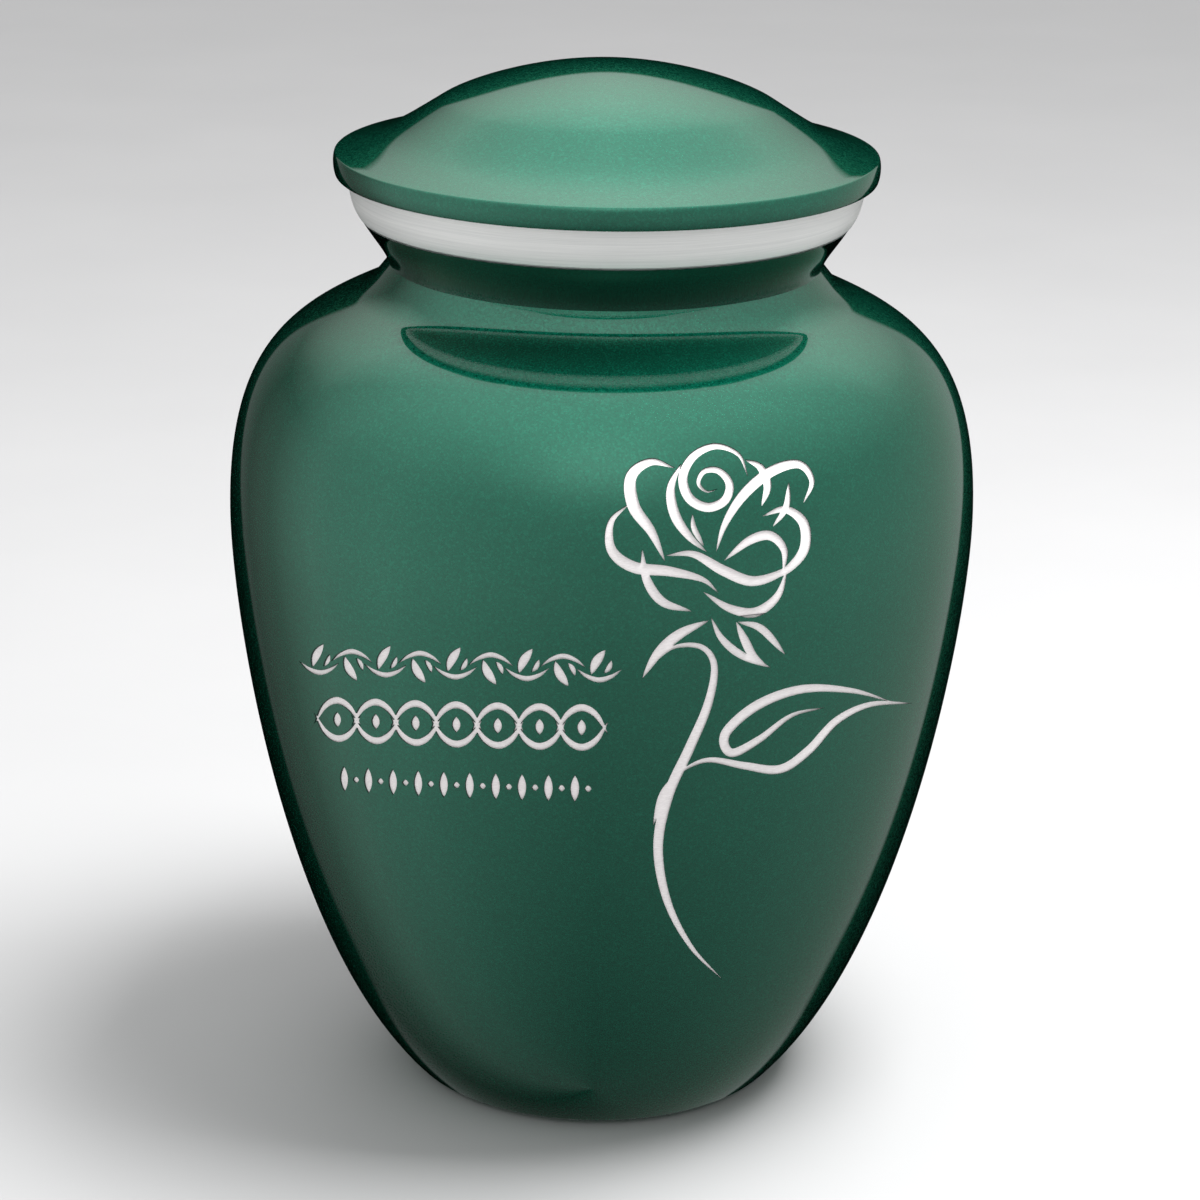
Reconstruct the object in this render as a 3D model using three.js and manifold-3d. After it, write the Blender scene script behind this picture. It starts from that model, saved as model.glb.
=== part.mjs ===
// A lidded metal urn: two spun shells joined at a hidden lap seam, a turned neck with a
// brushed band, and a domed lid that screws into the mouth on a two-start thread.
// Units are millimetres, +Z is up, and the origin is the centre of the foot on the table.

import * as THREE from 'three';
import { mergeVertices } from 'three/addons/utils/BufferGeometryUtils.js';
import Module from 'manifold-3d';

// ---- driving dimensions ----

const SEGMENTS = 48;          // facets around every turned piece
const GAP = 0.3;              // clearance between touching pieces
const WALL = 2.4;             // thickness of the spun shells

const SEAM_Z = 143;           // widest level, where the two shells meet
const BELLY_RADIUS = 89;
const LAP_HEIGHT = 4;         // inner lip of the belly shell, standing up into the shoulder shell
const LAP_WALL = 1.1;

const FOOT_Z = 1.5;           // underside of the metal, above the felt
const FOOT_RADIUS = 44.5;     // flat part of the underside
const FOOT_WALL = 2.8;
const FOOT_OPENING = 36;      // hole in the underside, closed by the base plate
const REBATE_RADIUS = 40;     // recess around the hole, for the base plate's flange
const REBATE_DEPTH = 1.4;
const BASE_BOSS_HEIGHT = 2;
const FELT_RADIUS = 41;
const FELT_THICKNESS = 1.2;

const NECK_RADIUS = 51;       // waist under the band
const NECK_JOINT_Z = 203;     // top of the shoulder shell
const SPIGOT_LENGTH = 5;      // part of the neck that goes down inside the shoulder shell
const NECK_LIP_RADIUS = 45;   // inward lip under the mouth ring
const NECK_LIP_Z = 207.3;
const MOUTH_RADIUS = 44.1;    // inside of the threaded mouth ring
const MOUTH_RING_WALL = 2.5;
const MOUTH_TOP_Z = 221.6;    // top of the neck, under the seal
const BAND_SEAT_RADIUS = 56.2;
const BAND_RADIUS = 57.8;     // lower edge of the band
const BAND_TOP_RADIUS = 60.6;
const BAND_BOTTOM_Z = 214.1;
const BAND_TOP_Z = 223.3;

const THREAD_STARTS = 2;
const THREAD_PITCH = 3;
const THREAD_LEAD = THREAD_STARTS * THREAD_PITCH;
const THREAD_DEPTH = 1.35;
const THREAD_ROOT_WIDTH = 1.5;
const THREAD_CREST_WIDTH = 0.7;
const THREAD_BOTTOM_Z = 209.5;  // lower end of the lid's screw tube
const THREAD_FIRST_Z = 210.7;   // middle of each ridge where it starts
const THREAD_TURNS = 1.25;
const THREAD_FADE = 0.12;     // share of each ridge that fades in and out
const LID_THREAD_TURNS = 1;

const RIM_RADIUS = 63.5;      // edge of the lid
const RIM_TOP_Z = 229;
const RIM_BOTTOM_Z = 223.7;
const RIM_SWELL = 0.5;        // how far the rim's side bulges
const LID_TOP_Z = 249.8;
const LID_WALL = 2.2;
const PLATE_RADIUS = 61;
const PLATE_TOP_Z = RIM_BOTTOM_Z + 2;
const GASKET_INNER = 47.5;
const GASKET_OUTER = 56;
const LID_TUBE_INNER = 39.7;  // screw tube under the lid
const LID_TUBE_OUTER = 42.3;
const LID_BOSS_RADIUS = 43.7; // step that seats the tube in the flange plate
const LID_BOSS_Z = 222;
const TUBE_FLANGE_RADIUS = 47;
const TUBE_FLANGE_THICKNESS = 1.5;

// ---- helpers ----

const wasm = await Module();
wasm.setup();

const point = (radius, height) => new THREE.Vector2(radius, height);

// Points along a cubic Bezier curve given by four [radius, height] pairs.
function curve(controls, divisions) {
  const [a, b, c, d] = controls.map(([radius, height]) => point(radius, height));
  return new THREE.CubicBezierCurve(a, b, c, d).getPoints(divisions);
}

// The same outline moved sideways by a distance, to its left when it runs forwards.
function offset(points, distance) {
  return points.map((here, index) => {
    const before = points[Math.max(index - 1, 0)];
    const after = points[Math.min(index + 1, points.length - 1)];
    const along = after.clone().sub(before).normalize();
    return point(here.x - along.y * distance, here.y + along.x * distance);
  });
}

// A solid of revolution about +Z from a closed outline in (radius, height).
// An outline that touches the axis starts and ends on it; any other one is a ring.
function turned(outline) {
  const points = THREE.ShapeUtils.area(outline) < 0 ? [...outline].reverse() : [...outline];
  const touchesAxis = points.some((p) => p.x === 0);
  if (!touchesAxis) {
    points.push(points[0].clone());
  }
  const geometry = new THREE.LatheGeometry(points, SEGMENTS);
  geometry.rotateX(Math.PI / 2);
  return geometry;
}

const ring = (inner, outer, bottom, top) =>
  turned([point(inner, bottom), point(outer, bottom), point(outer, top), point(inner, top)]);

// One helical ridge of trapezoid section, climbing as it runs anticlockwise from above.
// It is extruded straight, one step per facet, and then wrapped around the axis.
// rootRadius lies just inside the wall it grows from; crestRadius is its thin edge.
function threadRidge(rootRadius, crestRadius, turns, startAngle) {
  const steps = Math.round(turns * SEGMENTS);
  const section = new THREE.Shape([
    point(0, -THREAD_ROOT_WIDTH / 2),
    point(1, -THREAD_CREST_WIDTH / 2),
    point(1, THREAD_CREST_WIDTH / 2),
    point(0, THREAD_ROOT_WIDTH / 2),
  ]);
  const geometry = new THREE.ExtrudeGeometry(section, { depth: turns, steps, bevelEnabled: false });
  const places = geometry.attributes.position;
  for (let i = 0; i < places.count; i += 1) {
    const along = places.getZ(i);
    const share = along / turns;
    const fade = Math.min(1, share / THREAD_FADE, (1 - share) / THREAD_FADE);
    const reach = places.getX(i) * fade;
    const radius = THREE.MathUtils.lerp(rootRadius, crestRadius, reach);
    const angle = startAngle + along * 2 * Math.PI;
    const height = THREAD_FIRST_Z + places.getY(i) + along * THREAD_LEAD;
    places.setXYZ(i, radius * Math.cos(angle), radius * Math.sin(angle), height);
  }
  return geometry;
}

// A three.js geometry as a manifold-3d solid, turned the right way out if need be.
function solid(geometry) {
  const bare = geometry.clone();
  bare.deleteAttribute('normal');
  bare.deleteAttribute('uv');
  const merged = mergeVertices(bare, 1e-4);
  const vertProperties = new Float32Array(merged.attributes.position.array);
  const corners = [...merged.index.array];
  const triVerts = [];
  for (let i = 0; i < corners.length; i += 3) {
    const [a, b, c] = corners.slice(i, i + 3);
    if (a !== b && b !== c && c !== a) {
      triVerts.push(a, b, c);
    }
  }
  if (signedVolume(vertProperties, triVerts) < 0) {
    triVerts.reverse();
  }
  const mesh = new wasm.Mesh({ numProp: 3, vertProperties, triVerts: new Uint32Array(triVerts) });
  return new wasm.Manifold(mesh);
}

function signedVolume(places, triangles) {
  const corner = (index) => new THREE.Vector3().fromArray(places, 3 * index);
  let total = 0;
  for (let i = 0; i < triangles.length; i += 3) {
    const [a, b, c] = triangles.slice(i, i + 3).map(corner);
    total += a.dot(b.cross(c)) / 6;
  }
  return total;
}

function geometryOf(manifold) {
  const { vertProperties, triVerts } = manifold.getMesh();
  const geometry = new THREE.BufferGeometry();
  geometry.setAttribute('position', new THREE.BufferAttribute(vertProperties, 3));
  geometry.setIndex(new THREE.BufferAttribute(triVerts, 1));
  geometry.computeVertexNormals();
  return geometry;
}

// A turned wall with its thread ridges joined on.
function threaded(wall, rootRadius, crestRadius, turns, firstAngle) {
  let whole = solid(wall);
  for (let start = 0; start < THREAD_STARTS; start += 1) {
    const angle = firstAngle + (start * 2 * Math.PI) / THREAD_STARTS;
    whole = whole.add(solid(threadRidge(rootRadius, crestRadius, turns, angle)));
  }
  return geometryOf(whole);
}

// ---- materials ----

const enamel = () => new THREE.MeshStandardMaterial({ color: 0x2f5f50, roughness: 0.25, metalness: 0.6 });
const brushed = () => new THREE.MeshStandardMaterial({ color: 0xc4c8c6, roughness: 0.38, metalness: 0.95 });
const bareMetal = () => new THREE.MeshStandardMaterial({ color: 0xb4b6b8, roughness: 0.45, metalness: 0.9 });
const rubber = () => new THREE.MeshStandardMaterial({ color: 0x1d1d1e, roughness: 0.85, metalness: 0 });
const felt = () => new THREE.MeshStandardMaterial({ color: 0x1f3a2c, roughness: 0.95, metalness: 0 });

// ---- outlines of the shells ----

// Outside of the lower shell, from the foot's rounded edge to the widest level.
const bellyOutside = curve([[46.5, 2], [77.5, 35], [BELLY_RADIUS, 117], [BELLY_RADIUS, SEAM_Z]], 9);

// Outside of the upper shell: the round shoulder, then the hollow sweep up to the crease at the neck.
const shoulderOutside = [
  ...curve([[BELLY_RADIUS, SEAM_Z], [BELLY_RADIUS, 180.9], [75, 188], [59.5, 195.1]], 10),
  ...curve([[59.5, 195.1], [57, 196.2], [53.6, 199.6], [NECK_RADIUS, NECK_JOINT_Z]], 5).slice(1),
];

// Outside of the lid: the crown, then the flare out to the crisp rim.
const lidOutside = [
  ...curve([[0, LID_TOP_Z], [16.5, LID_TOP_Z], [33.9, 244.1], [39.5, 240.5]], 6),
  ...curve([[39.5, 240.5], [51.3, 233], [51.8, 232.3], [RIM_RADIUS, RIM_TOP_Z]], 6).slice(1),
];

// ---- pieces ----

function baseFelt() {
  return turned([
    point(0, 0),
    point(FELT_RADIUS, 0),
    point(FELT_RADIUS, FELT_THICKNESS),
    point(0, FELT_THICKNESS),
  ]);
}

// Plug plate: its flange sits in the underside's recess, its boss fills the opening.
function basePlate() {
  const flangeTop = FOOT_Z + REBATE_DEPTH - GAP;
  const flangeRadius = REBATE_RADIUS - GAP;
  const bossRadius = FOOT_OPENING - GAP;
  return turned([
    point(0, FOOT_Z),
    point(flangeRadius, FOOT_Z),
    point(flangeRadius, flangeTop),
    point(bossRadius, flangeTop),
    point(bossRadius, flangeTop + BASE_BOSS_HEIGHT),
    point(0, flangeTop + BASE_BOSS_HEIGHT),
  ]);
}

// Lower shell: open at the seam, with a recessed round hole in the foot.
function bellyShell() {
  const floorZ = FOOT_Z + FOOT_WALL;
  const innerWall = BELLY_RADIUS - WALL;
  const inside = offset(bellyOutside, WALL).slice(1, -1).reverse();
  return turned([
    point(REBATE_RADIUS, FOOT_Z),
    point(FOOT_RADIUS, FOOT_Z),
    ...bellyOutside,
    point(innerWall + LAP_WALL, SEAM_Z),
    point(innerWall + LAP_WALL, SEAM_Z + LAP_HEIGHT),
    point(innerWall, SEAM_Z + LAP_HEIGHT),
    ...inside.filter((p) => p.y > floorZ + WALL),
    point(FOOT_RADIUS + 1, floorZ),
    point(FOOT_OPENING, floorZ),
    point(FOOT_OPENING, FOOT_Z + REBATE_DEPTH),
    point(REBATE_RADIUS, FOOT_Z + REBATE_DEPTH),
  ]);
}

// Upper shell: its lower edge laps over the belly shell's inner lip, and its thick upper edge
// holds the neck's spigot.
function shoulderShell() {
  const spigotBore = NECK_RADIUS - WALL;
  const spigotZ = NECK_JOINT_Z - SPIGOT_LENGTH;
  const lapRadius = BELLY_RADIUS - WALL + LAP_WALL + GAP;
  const lapTop = SEAM_Z + LAP_HEIGHT + GAP;
  const inside = offset(shoulderOutside, WALL).reverse();
  const [first, ...above] = shoulderOutside;
  return turned([
    point(first.x, SEAM_Z + GAP),
    ...above,
    point(spigotBore, NECK_JOINT_Z),
    point(spigotBore, spigotZ),
    ...inside.filter((p) => p.y > lapTop + 2 && p.y < spigotZ - 1),
    point(BELLY_RADIUS - WALL, lapTop),
    point(lapRadius, lapTop),
    point(lapRadius, SEAM_Z + GAP),
  ]);
}

// Turned neck: a spigot down inside the shoulder shell, a flare, and a seat for the band.
function neckCollar() {
  const spigotRadius = NECK_RADIUS - WALL - GAP;
  const spigotZ = NECK_JOINT_Z - SPIGOT_LENGTH;
  const bore = MOUTH_RADIUS + MOUTH_RING_WALL + GAP;
  const flareTop = BAND_BOTTOM_Z - GAP;
  const flare = [
    [NECK_RADIUS, NECK_JOINT_Z + GAP],
    [52, 206.5],
    [54.8, 209.3],
    [BAND_RADIUS - GAP, flareTop],
  ];
  return turned([
    point(NECK_LIP_RADIUS, spigotZ),
    point(spigotRadius, spigotZ),
    point(spigotRadius, NECK_JOINT_Z + GAP),
    ...curve(flare, 5),
    point(BAND_SEAT_RADIUS, flareTop),
    point(BAND_SEAT_RADIUS, MOUTH_TOP_Z),
    point(bore, MOUTH_TOP_Z),
    point(bore, NECK_LIP_Z),
    point(NECK_LIP_RADIUS, NECK_LIP_Z),
  ]);
}

function brushedBand() {
  const face = [[BAND_RADIUS, BAND_BOTTOM_Z], [59.2, 216], [60.1, 218.4], [BAND_TOP_RADIUS, BAND_TOP_Z]];
  return turned([
    point(BAND_SEAT_RADIUS + GAP, BAND_BOTTOM_Z),
    ...curve(face, 4),
    point(BAND_SEAT_RADIUS + GAP, BAND_TOP_Z),
  ]);
}

// Ring pressed into the neck, with the mouth's thread standing inwards.
function mouthThreadRing() {
  const outer = MOUTH_RADIUS + MOUTH_RING_WALL;
  const wall = ring(MOUTH_RADIUS, outer, NECK_LIP_Z + GAP, MOUTH_TOP_Z - 2 * GAP);
  return threaded(wall, MOUTH_RADIUS + GAP, MOUTH_RADIUS - THREAD_DEPTH, THREAD_TURNS, 0);
}

// Flat rubber ring under the lid, pressed on the top of the neck.
function lidGasket() {
  return ring(GASKET_INNER, GASKET_OUTER, MOUTH_TOP_Z + GAP, RIM_BOTTOM_Z - GAP);
}

function lidFlangePlate() {
  return ring(LID_BOSS_RADIUS + GAP, PLATE_RADIUS, RIM_BOTTOM_Z, PLATE_TOP_Z);
}

// Screw tube: flange on top of the plate, boss through its hole, thread below.
// A quarter turn sets its two ridges midway between the mouth's.
function lidThreadRing() {
  const flangeZ = PLATE_TOP_Z + GAP;
  const wall = turned([
    point(LID_TUBE_INNER, THREAD_BOTTOM_Z),
    point(LID_TUBE_OUTER, THREAD_BOTTOM_Z),
    point(LID_TUBE_OUTER, LID_BOSS_Z - THREAD_DEPTH),
    point(LID_BOSS_RADIUS, LID_BOSS_Z),
    point(LID_BOSS_RADIUS, flangeZ),
    point(TUBE_FLANGE_RADIUS, flangeZ),
    point(TUBE_FLANGE_RADIUS, flangeZ + TUBE_FLANGE_THICKNESS),
    point(LID_TUBE_INNER, flangeZ + TUBE_FLANGE_THICKNESS),
  ]);
  const crest = LID_TUBE_OUTER + THREAD_DEPTH;
  return threaded(wall, LID_TUBE_OUTER - GAP, crest, LID_THREAD_TURNS, -Math.PI / 2);
}

// Lid: a thin shell with a recess under the rim that takes the flange plate.
function lidDome() {
  const seat = PLATE_RADIUS + GAP;
  const seatTop = PLATE_TOP_Z + GAP;
  const ledge = seat - 2.8;
  const inside = offset(lidOutside, -LID_WALL).reverse();
  return turned([
    ...lidOutside,
    point(RIM_RADIUS + RIM_SWELL, (RIM_TOP_Z + RIM_BOTTOM_Z) / 2),
    point(RIM_RADIUS, RIM_BOTTOM_Z),
    point(seat, RIM_BOTTOM_Z),
    point(seat, seatTop),
    point(ledge, seatTop),
    ...inside.filter((p) => p.x > 0 && p.x < ledge),
    point(0, LID_TOP_Z - LID_WALL),
  ]);
}

// ---- assembly ----

const PIECES = {
  base_felt: [baseFelt, felt],
  base_plate: [basePlate, bareMetal],
  belly_shell: [bellyShell, enamel],
  shoulder_shell: [shoulderShell, enamel],
  neck_collar: [neckCollar, enamel],
  brushed_band: [brushedBand, brushed],
  mouth_thread_ring: [mouthThreadRing, bareMetal],
  lid_gasket: [lidGasket, rubber],
  lid_flange_plate: [lidFlangePlate, bareMetal],
  lid_thread_ring: [lidThreadRing, bareMetal],
  lid_dome: [lidDome, enamel],
};

const group = new THREE.Group();
for (const [name, [shape, material]] of Object.entries(PIECES)) {
  const mesh = new THREE.Mesh(shape(), material());
  mesh.name = name;
  group.add(mesh);
}

export default group;
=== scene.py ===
"""A lidded metal urn in green metallic enamel, with an engraved rose and three engraved rows of
plain ornament, a brushed band at the neck and a screw lid.

The fine surface of every turned piece is made here from the same outlines as the CAD model, in
metres, +Z up, the engraved front facing -Y."""

import math

import bpy
import numpy as np
from mathutils import Matrix, Vector
from mathutils.geometry import delaunay_2d_cdt


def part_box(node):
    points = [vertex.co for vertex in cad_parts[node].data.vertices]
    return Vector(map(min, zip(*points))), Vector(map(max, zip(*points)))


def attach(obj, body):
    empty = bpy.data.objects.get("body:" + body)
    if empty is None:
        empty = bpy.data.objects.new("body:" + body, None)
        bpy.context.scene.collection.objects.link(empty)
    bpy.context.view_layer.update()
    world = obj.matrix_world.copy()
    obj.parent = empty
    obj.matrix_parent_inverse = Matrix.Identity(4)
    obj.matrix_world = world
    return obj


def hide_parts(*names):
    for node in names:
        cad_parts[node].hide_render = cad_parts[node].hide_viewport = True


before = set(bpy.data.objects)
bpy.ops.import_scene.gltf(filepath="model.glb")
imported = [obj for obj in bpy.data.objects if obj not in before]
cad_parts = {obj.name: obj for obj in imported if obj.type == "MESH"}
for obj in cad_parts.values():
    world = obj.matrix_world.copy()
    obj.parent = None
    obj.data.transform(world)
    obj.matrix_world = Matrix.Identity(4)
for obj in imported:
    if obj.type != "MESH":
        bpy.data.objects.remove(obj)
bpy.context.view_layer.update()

MM = 0.001
SEGMENTS = 256                # facets around a turned piece
FINE = 1.5 * MM               # spacing of the points along an outline's curves
WALL = 2.4 * MM
LID_WALL = 2.2 * MM
SPIGOT = 5 * MM               # how far the neck reaches down into the shoulder
WELD = 1e-7                   # corners nearer than this, in metres, are one
TURN = 2 * math.pi

# ---------------------------------------------------------------- levels of the urn, from the frame

foot_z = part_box("belly_shell")[0][2]
neck_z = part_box("shoulder_shell")[1][2]
band_low, band_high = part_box("brushed_band")
rim_low_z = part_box("lid_dome")[0][2]
lid_top_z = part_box("lid_dome")[1][2]
mouth_top_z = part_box("neck_collar")[1][2]
seam_z = 143 * MM             # the belly's lip stands up past the seam, so its box doesn't tell


# ---------------------------------------------------------------- outlines

def mm(*sizes):
    """Sizes, or (radius, height) pairs, in millimetres as an array in metres."""
    return np.array(sizes, float) * MM


def bezier(points, spacing=FINE):
    """Points along a cubic Bezier curve in the (radius, height) plane."""
    a, b, c, d = np.asarray(points, float)
    length = np.linalg.norm(b - a) + np.linalg.norm(c - b) + np.linalg.norm(d - c)
    t = np.linspace(0, 1, max(3, int(length / spacing)))[:, None]
    return (1 - t) ** 3 * a + 3 * (1 - t) ** 2 * t * b + 3 * (1 - t) * t ** 2 * c + t ** 3 * d


def line(*points):
    """A straight run through (radius, height) points in metres."""
    return np.array(points, float)


def fillet(corner, before, after, radius, count=7):
    """A rounded corner, as a curve from the line towards before to the line towards after."""
    corner, before, after = (np.asarray(p, float) for p in (corner, before, after))
    start = corner + (before - corner) / np.linalg.norm(before - corner) * radius
    end = corner + (after - corner) / np.linalg.norm(after - corner) * radius
    t = np.linspace(0, 1, count)[:, None]
    return (1 - t) ** 2 * start + 2 * (1 - t) * t * corner + t ** 2 * end


def joined(*runs):
    """Smooth runs that follow each other end to end, as one smooth run."""
    points = [runs[0]]
    for run in runs[1:]:
        skip = 1 if np.linalg.norm(run[0] - points[-1][-1]) < WELD else 0
        points.append(run[skip:])
    return np.vstack(points)


def run_normals(run):
    """Normals to the right of a run, which is its outside, in the (radius, height) plane."""
    steps = np.linalg.norm(np.diff(run, axis=0), axis=1)
    along = np.gradient(run, np.concatenate([[0], np.cumsum(steps)]), axis=0)
    along /= np.linalg.norm(along, axis=1)[:, None]
    return np.stack([along[:, 1], -along[:, 0]], 1)


def inset(run, distance):
    """A run moved to its left by a distance."""
    return run - run_normals(run) * distance


# From the foot to the seam, and from the seam over the round and the sweep to the neck's crease.
BELLY = bezier(mm((46.5, 2), (77.5, 35), (89, 117), (89, 143)))
SHOULDER = joined(
    bezier(mm((89, 143), (89, 180.9), (75, 188), (59.5, 195.1))),
    bezier(mm((59.5, 195.1), (57.4, 196.03), (55.3, 197.6), (53.8, 199.5)), spacing=0.7 * MM),
    mm((53.8, 199.5), (52.87, 200.67), (51.93, 201.83), (51, 203)),
)
WIDEST = BELLY[-1][0]


# ---------------------------------------------------------------- mesh building

class Shape:
    """Collects faces with a normal for each corner, then welds them into one mesh."""

    def __init__(self):
        self.places = []
        self.blocks = []
        self.count = 0

    def add(self, places, faces, normals, slot):
        """faces (n, corners) index places, and normals (n, corners, 3) point out of the surface."""
        if len(faces):
            self.places.append(np.asarray(places, float))
            self.blocks.append((np.asarray(faces) + self.count, np.asarray(normals, float), slot))
            self.count += len(places)

    def piece(self, name, materials):
        """Makes the object. Quads that the weld closes at the axis become triangles."""
        places = np.vstack(self.places)
        keys = np.round(places / WELD).astype(np.int64)
        _, first, index = np.unique(keys, axis=0, return_index=True, return_inverse=True)
        index = index.reshape(-1)
        used = np.unique(np.concatenate([index[block[0]].ravel() for block in self.blocks]))
        renumber = np.zeros(len(first), int)
        renumber[used] = np.arange(len(used))
        faces, normals, slots = [], [], []
        for block, facing, slot in self.blocks:
            corners = renumber[index[block]]
            kept = corners != np.roll(corners, 1, axis=1)
            for ring, normal, keep in zip(corners.tolist(), facing, kept):
                if keep.all():
                    faces.append(ring)
                    normals.append(normal)
                elif keep.sum() > 2:
                    faces.append([corner for corner, k in zip(ring, keep) if k])
                    normals.append(normal[keep])
                else:
                    continue
                slots.append(slot)
        facing = np.vstack(normals)
        facing /= np.maximum(np.linalg.norm(facing, axis=1), 1e-12)[:, None]
        mesh = bpy.data.meshes.new(name)
        mesh.from_pydata(places[first[used]].tolist(), [], faces)
        mesh.polygons.foreach_set("material_index", slots)
        mesh.polygons.foreach_set("use_smooth", [True] * len(faces))
        mesh.normals_split_custom_set(facing.tolist())
        for material in materials:
            mesh.materials.append(material)
        made = bpy.data.objects.new(name, mesh)
        bpy.context.scene.collection.objects.link(made)
        return made


def ring_angles(segments=SEGMENTS):
    """Angles from the front, positive to the right of the front."""
    return np.linspace(-math.pi, math.pi, segments + 1)


def around(radius, angle, height):
    """Places, or directions, in metres from a radius, an angle from the front and a height."""
    return np.stack([radius * np.sin(angle), -radius * np.cos(angle), height + 0 * angle], -1)


def grid_faces(rows, columns):
    """Quads of a grid of rows by columns points, seen from the side that the normals point to."""
    j, i = np.meshgrid(np.arange(rows - 1), np.arange(columns - 1), indexing="ij")
    a = (j * columns + i).ravel()
    return np.stack([a, a + 1, a + columns + 1, a + columns], 1)


def turn(shape, run, slot=0, angles=None):
    """Adds the surface that a smooth run sweeps about +Z. Outside is to the right of the run."""
    angles = ring_angles() if angles is None else angles
    normal = run_normals(run)
    radius, height = run[:, 0:1], run[:, 1:2]
    places = around(radius, angles[None, :], height)
    facing = around(normal[:, 0:1], angles[None, :], normal[:, 1:2])
    faces = grid_faces(len(run), len(angles))
    flat = facing.reshape(-1, 3)
    shape.add(places.reshape(-1, 3), faces, flat[faces], slot)


def turn_all(shape, runs, slot=0):
    for run in runs:
        turn(shape, run, slot)


def turned_piece(name, materials, *slots):
    """A turned piece. slots holds, for each of its materials, the runs that wear it."""
    shape = Shape()
    for slot, runs in enumerate(slots):
        turn_all(shape, runs, slot)
    return shape.piece(name, materials)


def corner_runs(*corners):
    """Straight runs from corner to corner, each with its own flat normals."""
    return [line(start, end) for start, end in zip(corners[:-1], corners[1:])]


# ---------------------------------------------------------------- materials

class Tree:
    """Short ways to add to a node tree."""

    def __init__(self, tree):
        self.tree = tree

    def new(self, kind, **values):
        node = self.tree.nodes.new(kind)
        for key, value in values.items():
            setattr(node, key, value)
        return node

    def link(self, source, target):
        self.tree.links.new(source, target)

    def math(self, operation, *values):
        node = self.new("ShaderNodeMath", operation=operation)
        for socket, value in zip(node.inputs, values):
            if isinstance(value, (int, float)):
                socket.default_value = value
            else:
                self.link(value, socket)
        return node.outputs[0]

    def levels(self, factor, *stops):
        """A number by factor, straight between (position, value) stops. Values are 0 to 2."""
        node = self.new("ShaderNodeFloatCurve")
        points = node.mapping.curves[0].points
        for _ in stops[2:]:
            points.new(0.5, 0.5)
        for point, (position, value) in zip(points, stops):
            point.location = (position, value / 2)
            point.handle_type = "VECTOR"
        node.mapping.update()
        self.link(factor, node.inputs["Value"])
        return self.math("MULTIPLY", node.outputs[0], 2.0)


class Nodes(Tree):
    """A material's node tree, with its Principled shader."""

    def __init__(self, name):
        self.material = bpy.data.materials.new(name)
        self.material.use_nodes = True
        super().__init__(self.material.node_tree)
        self.shader = self.tree.nodes["Principled BSDF"]
        self.place = self.new("ShaderNodeTexCoord").outputs["Object"]

    def set(self, **values):
        """Sets the shader's sockets; an underscore in a key stands for a space."""
        for key, value in values.items():
            self.shader.inputs[key.replace("_", " ")].default_value = value

    def stretched(self, x, y, z):
        """Places on the piece, scaled along each axis."""
        node = self.new("ShaderNodeMapping")
        node.inputs["Scale"].default_value = (x, y, z)
        self.link(self.place, node.inputs["Vector"])
        return node.outputs[0]

    def noise(self, vector, scale=1.0, detail=2.0, roughness=0.5):
        node = self.new("ShaderNodeTexNoise")
        node.inputs["Scale"].default_value = scale
        node.inputs["Detail"].default_value = detail
        node.inputs["Roughness"].default_value = roughness
        self.link(vector, node.inputs["Vector"])
        return node.outputs["Fac"]

    def cells(self, vector, scale):
        """A random colour for each small cell of space."""
        node = self.new("ShaderNodeTexVoronoi")
        node.inputs["Scale"].default_value = scale
        self.link(vector, node.inputs["Vector"])
        return node.outputs["Color"]

    def colour(self, factor, *stops):
        """The base colour by factor, from (position, colour) stops."""
        node = self.new("ShaderNodeValToRGB")
        elements = node.color_ramp.elements
        while len(elements) < len(stops):
            elements.new(0.5)
        for element, (position, colour) in zip(elements, stops):
            element.position = position
            element.color = (*colour, 1)
        self.link(factor, node.inputs["Fac"])
        self.link(node.outputs["Color"], self.shader.inputs["Base Color"])

    def roughness(self, factor, low, high):
        """The roughness, from low to high by factor."""
        node = self.new("ShaderNodeMapRange")
        node.inputs["To Min"].default_value = low
        node.inputs["To Max"].default_value = high
        self.link(factor, node.inputs["Value"])
        self.link(node.outputs[0], self.shader.inputs["Roughness"])

    def bump(self, height, strength, distance, target="Normal"):
        """Relief that is at most distance metres high."""
        node = self.new("ShaderNodeBump")
        node.inputs["Strength"].default_value = strength
        node.inputs["Distance"].default_value = distance
        self.link(height, node.inputs["Height"])
        self.link(node.outputs["Normal"], self.shader.inputs[target])

    def radius_and_height(self):
        """Distance from the urn's axis and height, in metres."""
        split = self.new("ShaderNodeSeparateXYZ")
        self.link(self.place, split.inputs[0])
        squares = self.math("ADD", self.math("POWER", split.outputs["X"], 2.0),
                            self.math("POWER", split.outputs["Y"], 2.0))
        return self.math("SQRT", squares), split.outputs["Z"]


def metallic_enamel(name, dark, plain, flake, roughness):
    """Green base full of fine metal flake, under a clear, glossy coat."""
    n = Nodes(name)
    flakes = n.cells(n.place, scale=2500)
    split = n.new("ShaderNodeSeparateColor")
    n.link(flakes, split.inputs[0])
    clouds = n.noise(n.place, scale=60, detail=3)
    tone = n.math("ADD", n.math("MULTIPLY", split.outputs[0], 0.8), n.math("MULTIPLY", clouds, 0.2))
    n.colour(tone, (0.0, dark), (0.72, plain), (1.0, flake))
    n.roughness(split.outputs[1], *roughness)
    n.set(Metallic=0.85, Coat_Weight=1.0, Coat_Roughness=0.02, Coat_IOR=1.55)
    n.set(Specular_Tint=(0.15, 0.6, 0.45, 1))
    ripple = n.noise(n.place, scale=450)
    n.bump(ripple, strength=0.012, distance=0.08 * MM, target="Coat Normal")
    return n.material


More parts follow.
